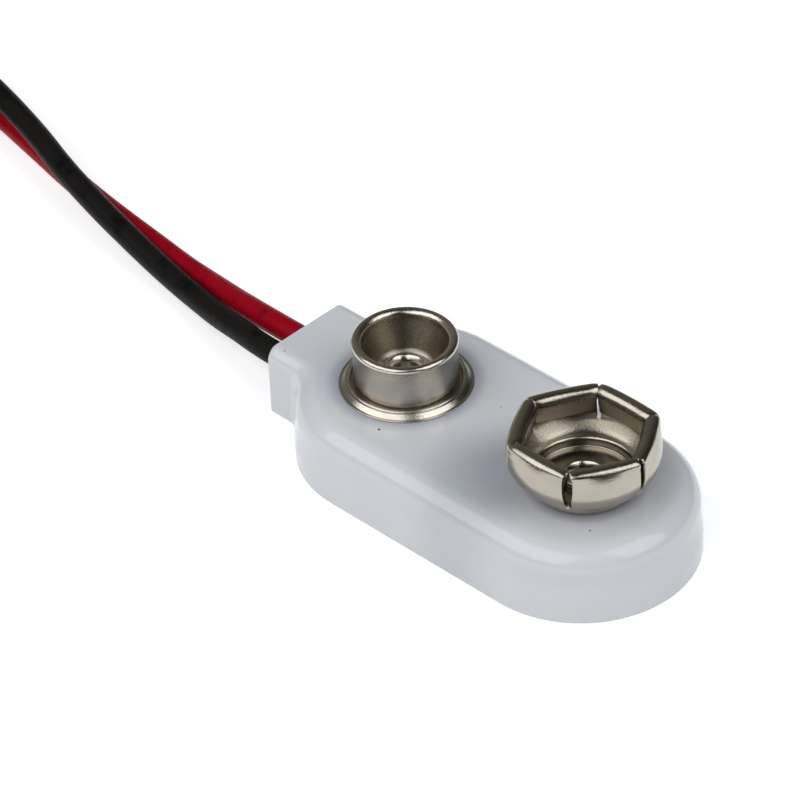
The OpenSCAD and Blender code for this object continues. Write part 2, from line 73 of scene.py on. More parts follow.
# Along X and Y, and the lift above lying on the table
lead_routes = {
    "red": [
        (-14.6, 0.95, 1.5), (-16, 1, 1.45), (-17.4, 1.15, 1.3), (-18.9, 1.4, 1.05),
        (-20.6, 1.75, 0.7), (-22.3, 2.1, 0.4), (-23.9, 2.4, 0.15), (-25.6, 2.65, 0),
        (-28.4, 3, 0), (-31.2, 3.35, 0), (-34, 3.75, 0), (-36.8, 4.25, 0),
        (-39.6, 4.85, 0), (-42.4, 5.45, 0), (-45.2, 6.05, 0), (-48.6, 6.85, 0), (-51.6, 7.35, 0),
    ],
    "black": [
        (-14.6, -0.95, 1.5), (-15.8, -0.85, 1.42), (-17.9, -0.45, 1.15), (-20, 0, 0.8),
        (-22.2, 0.55, 0.5), (-24.8, 1.1, 0.37), (-26.8, 1.45, 0.47), (-29.7, 1.95, 0.75),
        (-31.5, 2.3, 0.9), (-34.4, 2.95, 1.15), (-36.8, 3.6, 1.3), (-39.4, 4.45, 1.4),
        (-42.2, 5.3, 1.42), (-45.2, 6.1, 1.42), (-48.6, 6.85, 1.42), (-51.6, 7.35, 1.42),
    ],
}
coil_at = Vector((-53.3, -1.7))
coil_start = 85
coil_turns = 2
coil_pitch = lead_d + 0.05
coil_mid_r = 5.5 * lead_d
coil_step = 15
tail_r = 2.5 * lead_d
tail_step = 27.5
tail_steps = {"red": 4, "black": 3}
coil_lift = {"red": 0, "black": lead_d}


def on_circle(centre, radius, degrees, height):
    """A point on a level circle."""
    a = math.radians(degrees)
    return Vector((centre[0] + radius * math.cos(a), centre[1] + radius * math.sin(a), height))


def lead_line(colour):
    """Every point of a lead's centre line, from the neck to the end of its insulation."""
    points = [Vector(lead_exits[colour])]
    points += [Vector((x, y, lead_r + lift)) for x, y, lift in lead_routes[colour]]
    height = lead_r + coil_lift[colour]
    coil_in_r = coil_mid_r - coil_turns * coil_pitch / 2
    steps = coil_turns * 360 // coil_step
    for i in range(steps + 1):
        radius = coil_in_r + coil_turns * coil_pitch * (1 - i / steps)
        points.append(on_circle(coil_at, radius, coil_start + i * coil_step, height))
    tail_at = on_circle(coil_at, coil_in_r - tail_r, coil_start, 0)
    for i in range(1, tail_steps[colour] + 1):
        points.append(on_circle(tail_at, tail_r, coil_start + i * tail_step, height))
    return points


def put(tree, kind, inputs=None, **settings):
    """One node: settings are its own, inputs are values or sockets of other nodes."""
    made = tree.nodes.new(kind)
    for name, value in settings.items():
        setattr(made, name, value)
    for name, value in (inputs or {}).items():
        if isinstance(value, bpy.types.NodeSocket):
            tree.links.new(value, made.inputs[name])
        else:
            made.inputs[name].default_value = value
    return made


def effect(name, takes, gives):
    """A shader node group with its sockets: {name: socket type}."""
    tree = bpy.data.node_groups.new(name, "ShaderNodeTree")
    for label, kind in takes.items():
        tree.interface.new_socket(label, in_out="INPUT", socket_type="NodeSocket" + kind)
    for label, kind in gives.items():
        tree.interface.new_socket(label, in_out="OUTPUT", socket_type="NodeSocket" + kind)
    return tree, tree.nodes.new("NodeGroupInput").outputs


def cloud_and_grain():
    """Slow drifts and a fine grain, both from 0 to 1, as every moulded or drawn skin has."""
    tree, takes = effect(
        "cloud_and_grain",
        {"Place": "Vector", "Cloud scale": "Float", "Grain scale": "Float"},
        {"Cloud": "Float", "Grain": "Float"},
    )
    cloud = put(tree, "ShaderNodeTexNoise", {"Vector": takes["Place"], "Detail": 3,
                                             "Scale": takes["Cloud scale"], "Roughness": 0.55})
    grain = put(tree, "ShaderNodeTexNoise", {"Vector": takes["Place"], "Detail": 2,
                                             "Scale": takes["Grain scale"], "Roughness": 0.6})
    put(tree, "NodeGroupOutput", {"Cloud": cloud.outputs["Fac"], "Grain": grain.outputs["Fac"]})
    return tree


skin = cloud_and_grain()


def finish_start(name):
    """A new material: its tree, its shader and the Object coordinates."""
    material = bpy.data.materials.new(name)
    material.use_nodes = True
    tree = material.node_tree
    shader = tree.nodes["Principled BSDF"]
    return material, tree, shader, tree.nodes.new("ShaderNodeTexCoord").outputs["Object"]


def mix_colour(tree, factor, a, b):
    """Colour a where the factor is 0, and b where it is 1."""
    return put(tree, "ShaderNodeMix", {0: factor, 6: a, 7: b}, data_type="RGBA").outputs[2]


def spread(tree, value, low, high, to_low=0.0, to_high=1.0):
    """A value stretched from low..high to to_low..to_high and held there."""
    return put(tree, "ShaderNodeMapRange",
               {0: value, 1: low, 2: high, 3: to_low, 4: to_high}).outputs[0]


def reckon(tree, operation, *values):
    """One sum on numbers and sockets."""
    return put(tree, "ShaderNodeMath", dict(enumerate(values)), operation=operation).outputs[0]


def skin_marks(tree, place, cloud_scale, grain_scale):
    """The clouds and the grain of one finish, at scales of its own."""
    return put(tree, "ShaderNodeGroup", {"Place": place, "Cloud scale": cloud_scale,
                                         "Grain scale": grain_scale}, node_tree=skin).outputs


def relief(tree, shader, height, strength, depth):
    """Gives a finish fine relief, with its depth in metres."""
    bump = put(tree, "ShaderNodeBump", {"Strength": strength, "Distance": depth,
                                        "Height": height})
    tree.links.new(bump.outputs["Normal"], shader.inputs["Normal"])


def lead_skin(name, light, dark, roughness):
    """Extruded PVC: satin, with slow dents and darker scuffs along it."""
    material, tree, shader, place = finish_start(name)
    marks = skin_marks(tree, place, 620, 5200)
    scuff = spread(tree, marks["Cloud"], 0.52, 0.68)
    tree.links.new(mix_colour(tree, scuff, light, dark), shader.inputs["Base Color"])
    tree.links.new(spread(tree, marks["Grain"], 0.3, 0.7, roughness - 0.05, roughness + 0.08),
                   shader.inputs["Roughness"])
    relief(tree, shader, reckon(tree, "ADD", marks["Cloud"], marks["Grain"]), 0.35, 0.00006)
    shader.inputs["Specular IOR Level"].default_value = 0.06
    return material


lead_skins = {
    "red": lead_skin("red_pvc", (0.31, 0.0008, 0.0085, 1), (0.19, 0.0006, 0.006, 1), 0.36),
    "black": lead_skin("black_pvc", (0.0105, 0.0095, 0.0085, 1), (0.004, 0.004, 0.004, 1), 0.42),
}

for colour in ("red", "black"):
    line = lead_line(colour)
    curve = bpy.data.curves.new(colour + "_lead_run", "CURVE")
    curve.dimensions = "3D"
    curve.bevel_depth = (lead_r - inside_box) * mm
    curve.bevel_resolution = 5
    curve.resolution_u = 6
    curve.use_fill_caps = True
    spline = curve.splines.new("BEZIER")
    spline.bezier_points.add(len(line) - 1)
    for knot, at in zip(spline.bezier_points, line):
        knot.co = at * mm
        knot.handle_left_type = knot.handle_right_type = "AUTO"
    curve.materials.append(lead_skins[colour])
    lead = bpy.data.objects.new(colour + "_lead_run", curve)
    scene.collection.objects.link(lead)
    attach(lead, "root")
    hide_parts(colour + "_lead", colour + "_coil")

# Studio
# The snap lies on a white table that runs on as the backdrop. Two softboxes stand left and
# right of the camera, and dark flags stand round and over the table beyond the picture.
camera_way = Vector((camera_aim.x - camera_at.x, camera_aim.y - camera_at.y, 0)).normalized()
softbox_off = 0.56
softbox_rise = 44
# Name, bearing from the camera's side in degrees, width, height and power
softboxes = [
    ("softbox_left", -57, 0.8, 0.5, 2.3),
    ("softbox_right", 60, 0.42, 0.5, 1.3),
]
for name, bearing, wide, high, watts in softboxes:
    lamp = bpy.data.lights.new(name, "AREA")
    lamp.shape = "RECTANGLE"
    lamp.size = wide
    lamp.size_y = high
    lamp.energy = watts
    softbox = bpy.data.objects.new(name, lamp)
    scene.collection.objects.link(softbox)
    way = Matrix.Rotation(math.radians(bearing), 4, "Z") @ -camera_way
    rise = math.radians(softbox_rise)
    softbox.location = softbox_off * (way * math.cos(rise) + Vector((0, 0, math.sin(rise))))
    softbox.rotation_mode = "QUATERNION"
    softbox.rotation_quaternion = softbox.location.to_track_quat("Z", "Y")
    softbox.visible_camera = False


def seen_rays(tree):
    """1 for the rays that should meet the white background."""
    rays = tree.nodes.new("ShaderNodeLightPath").outputs
    either = reckon(tree, "MAXIMUM", rays["Is Camera Ray"], rays["Is Glossy Ray"])
    return reckon(tree, "MAXIMUM", either, rays["Is Transmission Ray"])


fill_level = 0.3
fill_tint, white = (0.78, 0.89, 1, 1), (1, 1, 1, 1)
world = bpy.data.worlds.new("white_room")
scene.world = world
world.use_nodes = True
sky = world.node_tree
background = sky.nodes["Background"].inputs
seen = seen_rays(sky)
sky.links.new(spread(sky, seen, 0, 1, fill_level, 1), background["Strength"])
sky.links.new(mix_colour(sky, seen, fill_tint, white), background["Color"])


def flat_mesh(name, points, faces, material):
    """A new mesh object with flat faces, from points in metres."""
    mesh = bpy.data.meshes.new(name)
    mesh.from_pydata([tuple(p) for p in points], [], faces)
    mesh.materials.append(material)
    thing = bpy.data.objects.new(name, mesh)
    scene.collection.objects.link(thing)
    return thing


table_half = 3
table_glow, far_glow, unseen_glow = 0.56, 0.15, 0.07
pool_start, pool_end = 0.06, 0.4
table_white, table_tree, table_shader, table_place = finish_start("table_white")
table_shader.inputs["Base Color"].default_value = (0.74, 0.74, 0.74, 1)
table_shader.inputs["Roughness"].default_value = 0.9
table_shader.inputs["Specular IOR Level"].default_value = 0.1
table_shader.inputs["Emission Color"].default_value = white
# The table glows for the camera and in reflections: a painted pool of light round the snap that dies
# away further out
table_away = put(table_tree, "ShaderNodeVectorMath", {0: table_place}, operation="LENGTH")
painted_light_pool = spread(table_tree, table_away.outputs["Value"], pool_start, pool_end,
                    table_glow, far_glow)
table_tree.links.new(spread(table_tree, seen_rays(table_tree), 0, 1, unseen_glow, painted_light_pool),
                     table_shader.inputs["Emission Strength"])
table = flat_mesh(
    "table",
    [(x * table_half, y * table_half, 0) for x, y in ((-1, -1), (1, -1), (1, 1), (-1, 1))],
    [(0, 1, 2, 3)],
    table_white,
)

flag_r = 1.3
flag_bays = 24
flag_rows = 12
flag_cloth, flag_tree, flag_shader, flag_place = finish_start("flag_cloth")
flag_shader.inputs["Base Color"].default_value = (0.02, 0.018, 0.015, 1)
flag_shader.inputs["Roughness"].default_value = 1
flag_shader.inputs["Emission Color"].default_value = (1, 0.93, 0.82, 1)
# The flag cloth glows, painted light seen only in reflections: faintly all round, and more at the
# back on the left, where it stands for a dim wall
wall_bearing = -145
wall_way = Matrix.Rotation(math.radians(wall_bearing), 3, "Z") @ -camera_way
painted_wall_glow = put(flag_tree, "ShaderNodeVectorMath", {0: flag_place, 1: wall_way},
                operation="DOT_PRODUCT")
flag_tree.links.new(spread(flag_tree, painted_wall_glow.outputs["Value"], 0, 1.0, 0.02, 0.16),
                    flag_shader.inputs["Emission Strength"])
flag_points = [
    on_circle((0, 0), flag_r * math.cos(rise), bay * 360 / flag_bays, flag_r * math.sin(rise))
    for rise in [math.radians(90 * row / flag_rows) for row in range(flag_rows + 1)]
    for bay in range(flag_bays)
]
flag_faces = [
    (row * flag_bays + bay, row * flag_bays + (bay + 1) % flag_bays,
     (row + 1) * flag_bays + (bay + 1) % flag_bays, (row + 1) * flag_bays + bay)
    for row in range(flag_rows) for bay in range(flag_bays)
]
flags = flat_mesh("flags", flag_points, flag_faces, flag_cloth)
flags.visible_camera = False
flags.visible_diffuse = False
flags.visible_shadow = False
flags.visible_transmission = False

# Moulding
# White flexible PVC cast round the carrier board. Its sides swell gently to one widest line,
# low down, and the square-cut neck runs into the rounded end with soft webs.
body_low, body_high = (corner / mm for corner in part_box("body_moulding"))
body_h = body_high.z
body_r = body_high.y
neck_x = body_low.x
neck_len = 1.55
end_xs = (neck_x + neck_len + body_r, body_high.x - body_r)
top_round = 1.35
base_round = 0.2
widest_z = 1.1
upright_z = 2.6
side_draft = 0.12
neck_w = 5.95
neck_lift = 0.2
neck_round = 0.15
neck_top_round = 0.8
neck_web = 0.8
stud_x = end_xs[0] - body_r + 6.0
socket_x = stud_x + 12.7


def arc(centre, radius, start, end, steps):
    """Points along an arc, from start to end in degrees."""
    return [
        (centre[0] + radius * math.cos(math.radians(start + (end - start) * i / steps)),
         centre[1] + radius * math.sin(math.radians(start + (end - start) * i / steps)))
        for i in range(steps + 1)
    ]


def round_inset(depth, radius):
    """How far a rounded edge has drawn in at a depth under its flat face."""
    if depth >= radius:
        return 0.0
    return radius - math.sqrt(max(0.0, radius ** 2 - (radius - depth) ** 2))


def body_inset(z):
    """How far the body's sides have drawn in at a height."""
    step = min(1.0, max(0.0, (z - widest_z) / (upright_z - widest_z)))
    drawn_in = side_draft * step * step * (3 - 2 * step)
    return drawn_in + round_inset(z, base_round) + round_inset(body_h - z, top_round)


def neck_inset(z):
    """How far the neck's end and its sides have drawn in at a height."""
    low = round_inset(z - neck_lift, neck_round)
    return (low + round_inset(body_h - z, neck_round), low + round_inset(body_h - z, neck_top_round))


def off_stadium(x, y, inset):
    """Distance outside the round-ended body, drawn in by an inset."""
    past = max(end_xs[0] - x, 0, x - end_xs[1])
    return math.hypot(past, y) - body_r + inset


def off_neck(x, y, end_in, side_in):
    """Distance outside the square-cut neck, whose corners are just broken."""
    half_long = (end_xs[0] - neck_x) / 2
    corner = max(0.001, neck_round - end_in)
    out_x = abs(x - neck_x - half_long) - half_long + end_in + corner
    out_y = abs(y) - neck_w / 2 + side_in + corner
    return math.hypot(max(out_x, 0), max(out_y, 0)) + min(max(out_x, out_y), 0) - corner


def off_outline(x, y, body_in, neck_in):
    """Distance outside the plan outline at one height, with webs at the root of the neck."""
    body = off_stadium(x, y, body_in)
    if neck_in is None:
        return body
    neck = off_neck(x, y, *neck_in)
    inner = max(neck_web, min(body, neck))
    return inner - math.hypot(max(neck_web - body, 0), max(neck_web - neck, 0))


def outline_rays():
    """Where each line of the mesh starts on the middle of the body, and its direction."""
    def fan(x, start, end, steps):
        return [(x, math.radians(start + (end - start) * i / steps)) for i in range(steps)]
    straight = 24
    run = end_xs[1] - end_xs[0]
    rays = fan(end_xs[1], -90, 90, 60)
    rays += [(end_xs[1] - run * i / straight, math.pi / 2) for i in range(straight)]
    # Close together where the web and the neck's corner lie
    near = fan(end_xs[0], 90, 146, 18)
    near += fan(end_xs[0], 146, 164, 40) + fan(end_xs[0], 164, 180, 8)
    rays += near
    rays += [(end_xs[0], math.pi)]
    rays += [(x, 2 * math.pi - a) for x, a in reversed(near)]
    rays += [(end_xs[0] + run * i / straight, -math.pi / 2) for i in range(1, straight)]
    return rays


def level_outline(rays, body_in, neck_in):
    """Where each ray meets the outline at one level, found by halving."""
    points = []
    for x, a in rays:
        cos_a, sin_a = math.cos(a), math.sin(a)
        near, far = 0.0, 9.0
        for _ in range(30):
            mid = (near + far) / 2
            if off_outline(x + mid * cos_a, mid * sin_a, body_in, neck_in) < 0:
                near = mid
            else:
                far = mid
        points.append((x + near * cos_a, near * sin_a))
    return points


def body_levels():
    """Heights of the mesh's rings, closer together round every edge."""
    heights = {round(z, 4) for _, z in arc((0, base_round), base_round, 270, 360, 8)}
    heights |= {round(neck_lift + z, 4) for _, z in arc((0, neck_round), neck_round, 270, 360, 8)}
    heights |= {round(body_h - neck_round + z, 4) for _, z in arc((0, 0), neck_round, 0, 90, 10)}
    heights |= {round(body_h - top_round + z, 4) for _, z in arc((0, 0), top_round, 0, 90, 18)}
    heights |= {round(widest_z + (upright_z - widest_z) * i / 8, 4) for i in range(9)}
    heights |= {0.5, 0.8, 2.8}
    levels = []
    for z in sorted(heights):
        if z < neck_lift:
            levels.append((z, body_inset(z), None))
        elif abs(z - neck_lift) < 1e-6:
            levels.append((z, body_inset(z), None))
            levels.append((z, body_inset(z), (neck_round, neck_round)))
        else:
            levels.append((z, body_inset(z), neck_inset(z)))
    # The back and the face are closed just inside their edges
    edge = 0.1
    low, top = levels[0], levels[-1]
    back = (low[0], low[1] + edge, None)
    lid = (top[0], top[1] + edge, (top[2][0] + edge, top[2][1] + edge))
    return [back] + levels + [lid]


def solid(name, points, faces, finish, smooth=True):
    """A new mesh piece from points in millimetres."""
    thing = flat_mesh(name, [Vector(p) * mm for p in points], faces, finish)
    if smooth:
        thing.data.shade_smooth()
    return thing


def strongest(tree, masks):
    """The highest of several masks."""
    total = masks[0]
    for mask in masks[1:]:
        total = reckon(tree, "MAXIMUM", total, mask)
    return total


# Centre in X, Y and Z, and radius
speck_places = [
    (-12.34, -2.4, 4.4, 0.05), (-3.82, -3.9, 4.4, 0.08), (-0.35, 1.7, 4.4, 0.035),
    (9.95, -2.71, 4.4, 0.07), (1.64, -6.48, 2.5, 0.06), (1.75, -6.58, 1.5, 0.05),
]


def dirt_specks():
    """1 inside a few small dark specks on the face and side, 0 elsewhere."""
    tree, takes = effect("dirt_specks", {"Place": "Vector", "Ragged": "Float"}, {"Specks": "Float"})
    ragged = put(tree, "ShaderNodeTexNoise", {"Vector": takes["Place"], "Scale": takes["Ragged"]})
    hits = []
    for x, y, z, size in speck_places:
        gap = put(tree, "ShaderNodeVectorMath", {0: takes["Place"], 1: (x * mm, y * mm, z * mm)},
                  operation="DISTANCE")
        wide = reckon(tree, "MULTIPLY", ragged.outputs["Fac"], 2 * size * mm)
        hits.append(reckon(tree, "LESS_THAN", gap.outputs["Value"], wide))
    put(tree, "NodeGroupOutput", {"Specks": strongest(tree, hits)})
    return tree


# Painted shade round the contacts and beside them: centre in X and Y, how far out the shade is full
# and where it ends, and how much it is
painted_shade_places = [
    (stud_x, 0, 3.5, 4.5, 0.9), (socket_x, 0, 2.9, 3.8, 0.7),
    (3.4, -3, 1.2, 5.2, 0.65), (socket_x, 0, 3.5, 6, 0.25),
]


def contact_shade():
    """Painted shade on the moulding: how dark it is round each contact, and beside the two on the
    camera's side."""
    tree, takes = effect("contact_shade", {"Place": "Vector"}, {"Shade": "Float"})
    level = put(tree, "ShaderNodeVectorMath", {0: takes["Place"], 1: (1, 1, 0)},
                operation="MULTIPLY").outputs[0]
    shades = []
    for x, y, full, end, most in painted_shade_places:
        gap = put(tree, "ShaderNodeVectorMath", {0: level, 1: (x * mm, y * mm, 0)},
                  operation="DISTANCE").outputs["Value"]
        share = put(tree, "ShaderNodeMapRange", {0: gap, 1: full * mm, 2: end * mm, 3: most, 4: 0},
                    interpolation_type="SMOOTHSTEP")
        shades.append(share.outputs[0])
    put(tree, "NodeGroupOutput", {"Shade": strongest(tree, shades)})
    return tree


pvc_dark, pvc_light = (0.64, 0.64, 0.652, 1), (0.66, 0.66, 0.67, 1)
# Colour of the painted shade round the contacts
painted_shade_tint = (0.37, 0.388, 0.432, 1)
dirt = (0.05, 0.045, 0.04, 1)


def moulding_skin():
    """Glossy white PVC that a little light goes through, with painted shade round the contacts and
    its specks.
    """
    material, tree, shader, place = finish_start("white_pvc")
    marks = skin_marks(tree, place, 260, 7000)
    specks = put(tree, "ShaderNodeGroup", {"Place": place, "Ragged": 9000},
                 node_tree=dirt_specks()).outputs["Specks"]
    shade = put(tree, "ShaderNodeGroup", {"Place": place},
                node_tree=contact_shade()).outputs["Shade"]
    tint = mix_colour(tree, spread(tree, marks["Cloud"], 0.3, 0.7), pvc_dark, pvc_light)
    # Painted shade: the moulding turns darker and bluer round the contacts and beside them
    tint = mix_colour(tree, shade, tint, painted_shade_tint)
    tree.links.new(mix_colour(tree, specks, tint, dirt), shader.inputs["Base Color"])
    tree.links.new(spread(tree, marks["Cloud"], 0.3, 0.7, 0.10, 0.15), shader.inputs["Roughness"])
    relief(tree, shader, marks["Cloud"], 0.12, 0.00004)
    shader.inputs["Subsurface Weight"].default_value = 0.12
    shader.inputs["Subsurface Radius"].default_value = (1.0, 0.95, 0.9)
    shader.inputs["Subsurface Scale"].default_value = 0.0008
    return material


rays = outline_rays()
levels = body_levels()
rings = [level_outline(rays, body_in, neck_in) for _, body_in, neck_in in levels]
count = len(rays)
body_points = [(x, y, level[0]) for level, ring in zip(levels, rings) for x, y in ring]
body_faces = [
    (i * count + j, i * count + (j + 1) % count,
     (i + 1) * count + (j + 1) % count, (i + 1) * count + j)
    for i in range(len(levels) - 1) for j in range(count)
]
body_faces.append(tuple(range(count - 1, -1, -1)))
body_faces.append(tuple(range((len(levels) - 1) * count, len(levels) * count)))
moulding = solid("moulded_body", body_points, body_faces, moulding_skin())
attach(moulding, "root")
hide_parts("body_moulding")

# Stud
# The smooth contact is drawn from one round of nickel-plated sheet: a sloping brim with a
# ridge, a straight post, a rim rolled inwards and a deep bowl with a hole for its eyelet.
sheet_t = 0.28
post_r = 2.8
rim_r = 2.85
rim_roll = 0.22
rim_in = 0.34
stud_h = 2.9
bowl_r = rim_r - rim_roll - rim_in
bowl_floor = 0.7
bowl_round = 0.5
seat_r = 1.22
hole_r = 0.85
hole_edge = 0.04
# The brim slopes up from a thin edge to the ridge, and a groove parts the ridge and the post
brim_r = 3.6
brim_t = 0.08
slope_low_r = 3.481
slope_low_round = 0.05
slope_high = (3.223, 0.26)
slope_high_round = 0.04
ridge_c = (3.04, 0.28)
ridge_roll = 0.08
groove_r = 0.08
around = 128


def inner_band():
    """1 on the side of a contact that faces its own axis, between two heights; 0 elsewhere."""
    tree, takes = effect(
        "inner_band",
        {"Place": "Vector", "Normal": "Vector", "Axis": "Vector", "Low": "Float", "High": "Float"},
        {"Band": "Float"},
    )
    away = put(tree, "ShaderNodeVectorMath", {0: takes["Place"], 1: takes["Axis"]},
               operation="SUBTRACT")
    level = put(tree, "ShaderNodeVectorMath", {0: away.outputs[0], 1: (1, 1, 0)},
                operation="MULTIPLY")
    outward = put(tree, "ShaderNodeVectorMath", {0: level.outputs[0]}, operation="NORMALIZE")
    facing = put(tree, "ShaderNodeVectorMath", {0: outward.outputs[0], 1: takes["Normal"]},
                 operation="DOT_PRODUCT")
    band = spread(tree, facing.outputs["Value"], -0.4, -0.7)
    z = put(tree, "ShaderNodeSeparateXYZ", {0: takes["Place"]}).outputs["Z"]
    for end, sign in (("Low", 1), ("High", -1)):
        fade = 0.1 * sign * mm
        share = spread(tree, reckon(tree, "SUBTRACT", z, takes[end]), -fade, fade)
        band = reckon(tree, "MULTIPLY", band, share)
    put(tree, "NodeGroupOutput", {"Band": band})
    return tree


band_mask = inner_band()
# Painted shade inside the contacts: the side that faces the axis is made this darker brown
shaded_brown_dark, shaded_brown_light = (0.235, 0.2, 0.155, 1), (0.36, 0.32, 0.26, 1)
brown_rough = 0.13


def nickel(name, light, dark, smooth, rough, dull_and_shaded=None):
    """Bright plate: slow stains and a fine drawn grain. The last argument gives the x of an axis
    and two heights; between them the side that faces the axis is satin, and painted darker
    brown as shade inside the contact."""
    material, tree, shader, place = finish_start(name)
    marks = skin_marks(tree, place, 700, 12500)
    colour = mix_colour(tree, spread(tree, marks["Cloud"], 0.35, 0.7), light, dark)
    roughness = spread(tree, marks["Grain"], 0.3, 0.7, smooth, rough)
    if dull_and_shaded:
        axis_x, low, high = dull_and_shaded
        normal = tree.nodes.new("ShaderNodeNewGeometry").outputs["Normal"]
        band = put(tree, "ShaderNodeGroup", {
            "Place": place, "Normal": normal, "Axis": (axis_x * mm, 0, 0),
            "Low": low * mm, "High": high * mm,
        }, node_tree=band_mask).outputs["Band"]
        brown = mix_colour(tree, spread(tree, marks["Grain"], 0.35, 0.65), shaded_brown_dark, shaded_brown_light)
        colour = mix_colour(tree, band, colour, brown)
        roughness = reckon(tree, "ADD", roughness, reckon(tree, "MULTIPLY", band, brown_rough))
    tree.links.new(colour, shader.inputs["Base Color"])
    tree.links.new(roughness, shader.inputs["Roughness"])
    relief(tree, shader, marks["Grain"], 0.45, 0.000017)
    shader.inputs["Metallic"].default_value = 1
    return material


nickel_light, nickel_dark = (0.6, 0.56, 0.5, 1), (0.52, 0.48, 0.425, 1)
stud_plate = nickel("stud_plate", nickel_light, nickel_dark, 0.15, 0.26,
                    dull_and_shaded=(stud_x, body_h + 0.72, body_h + stud_h - rim_in))


def start_tree(name, takes):
    """A tree of shape nodes with its sockets: {name: socket type}."""
    tree = bpy.data.node_groups.new(name, "GeometryNodeTree")
    tree.is_modifier = True
    for label, kind in takes.items():
        tree.interface.new_socket(label, in_out="INPUT", socket_type="NodeSocket" + kind)
    tree.interface.new_socket("Piece", in_out="OUTPUT", socket_type="NodeSocketGeometry")
    return tree, tree.nodes.new("NodeGroupInput").outputs


def joined_and_seated(tree, shape, gap, seat):
    """A shape with its seams joined, at its place on the moulding."""
    joined = put(tree, "GeometryNodeMergeByDistance", {"Geometry": shape, "Distance": gap})
    return put(tree, "GeometryNodeTransform", {"Geometry": joined.outputs[0],
                                               "Translation": seat}).outputs[0]


def end_tree(tree, shape, finish):
    """The end of every such tree: smooth, real and in its finish."""
    smooth = put(tree, "GeometryNodeSetShadeSmooth", {"Geometry": shape}).outputs[0]
    real = put(tree, "GeometryNodeRealizeInstances", {"Geometry": smooth}).outputs[0]
    done = put(tree, "GeometryNodeSetMaterial", {"Geometry": real, "Material": finish}).outputs[0]
    put(tree, "NodeGroupOutput", {"Piece": done})
    return tree


def turned_tree():
    """Turns a closed section, given as points in X and Z, once round the Z axis."""
    tree, takes = start_tree("turned_piece", {"Section": "Geometry", "Steps round": "Int",
                                              "Seat": "Vector", "Finish": "Material"})
    corners = put(tree, "GeometryNodeAttributeDomainSize", {"Geometry": takes["Section"]},
                  component="MESH").outputs["Point Count"]
    columns = reckon(tree, "ADD", takes["Steps round"], 1)
    rows = reckon(tree, "ADD", corners, 1)
    grid = put(tree, "GeometryNodeMeshGrid", {"Size X": 1, "Size Y": 1, "Vertices X": columns,
                                              "Vertices Y": rows}).outputs["Mesh"]
    here = tree.nodes.new("GeometryNodeInputPosition").outputs[0]
    parts = put(tree, "ShaderNodeSeparateXYZ", {0: here}).outputs
    turn = spread(tree, parts["X"], -0.5, 0.5, 0, 2 * math.pi)
    whole = reckon(tree, "ROUND", spread(tree, parts["Y"], -0.5, 0.5, 0, corners))
    corner = put(tree, "GeometryNodeSampleIndex",
                 {"Geometry": takes["Section"], "Value": here,
                  "Index": reckon(tree, "FLOORED_MODULO", whole, corners)},
                 data_type="FLOAT_VECTOR", domain="POINT").outputs["Value"]
    swung = put(tree, "ShaderNodeVectorRotate", {"Vector": corner, "Angle": turn},
                rotation_type="Z_AXIS").outputs[0]
    turned = put(tree, "GeometryNodeSetPosition", {"Geometry": grid, "Position": swung}).outputs[0]
    return end_tree(tree, joined_and_seated(tree, turned, 1e-7, takes["Seat"]), takes["Finish"])


def shaped(base, tree, inputs, more=()):
    """Runs a node tree and any further modifiers on base, and gives the plain mesh piece."""
    modifier = base.modifiers.new(tree.name, "NODES")
    modifier.node_group = tree
    sockets = {s.name: s.identifier for s in tree.interface.items_tree if s.in_out == "INPUT"}
    for label, value in inputs.items():
        modifier[sockets[label]] = value
    for kind, settings in more:
        extra = base.modifiers.new(kind.lower(), kind)
        for name, value in settings.items():
            setattr(extra, name, value)
    evaluated = base.evaluated_get(bpy.context.evaluated_depsgraph_get())
    mesh = bpy.data.meshes.new_from_object(evaluated)
    base.modifiers.clear()
    mesh.name = base.name
    base.data = mesh
    return base


turned = turned_tree()


def turned_piece(name, section, seat, finish, steps=around):
    """A round piece of sheet from its closed section of (radius, height) points."""
    points = [(radius, 0, height) for radius, height in section]
    base = solid(name, points, [], finish, smooth=False)
    return shaped(base, turned, {"Steps round": steps, "Seat": Vector(seat) * mm,
                                 "Finish": finish})


rim_c = (rim_r - rim_roll, stud_h - rim_roll)
rim_start = -math.degrees(math.acos((post_r - rim_c[0]) / rim_roll))
turn_c = (seat_r, bowl_floor + bowl_round)
reach_x, reach_z = bowl_r - turn_c[0], stud_h - rim_in - turn_c[1]
wall_a = math.degrees(math.atan2(reach_z, reach_x)
                      - math.acos(bowl_round / math.hypot(reach_x, reach_z)))
wall_x, wall_z = math.cos(math.radians(wall_a)), math.sin(math.radians(wall_a))
stud_section = (
    [(post_r - sheet_t, 0)]
    + arc((brim_r - brim_t / 2, brim_t / 2), brim_t / 2, -90, 90, 6)
    + arc((slope_low_r, brim_t + slope_low_round), slope_low_round, 270, 225, 4)
    + arc(slope_high, slope_high_round, 45, 90, 4)
    + arc(ridge_c, ridge_roll, 15, 180, 12)
    + arc((post_r + groove_r, brim_t + groove_r), groove_r, 360, 180, 10)
    + arc(rim_c, rim_roll, rim_start, 90, 18)
    + arc((bowl_r + rim_in, stud_h - rim_in), rim_in, 90, 180, 14)[1:]
    + [(bowl_r + (turn_c[0] + bowl_round * wall_x - bowl_r) * i / 8,
        stud_h - rim_in - (reach_z - bowl_round * wall_z) * i / 8) for i in range(1, 8)]
    + arc(turn_c, bowl_round, wall_a, -90, 16)
    + [(hole_r + hole_edge, bowl_floor), (hole_r, bowl_floor - hole_edge),
       (hole_r, bowl_floor - sheet_t)]
    + arc(turn_c, bowl_round + sheet_t, -90, wall_a, 12)
    + [(post_r - sheet_t, stud_h - rim_in - sheet_t)]
)
stud = turned_piece("stud", stud_section, (stud_x, 0, body_h), stud_plate)
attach(stud, "root")
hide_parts("snap_stud")

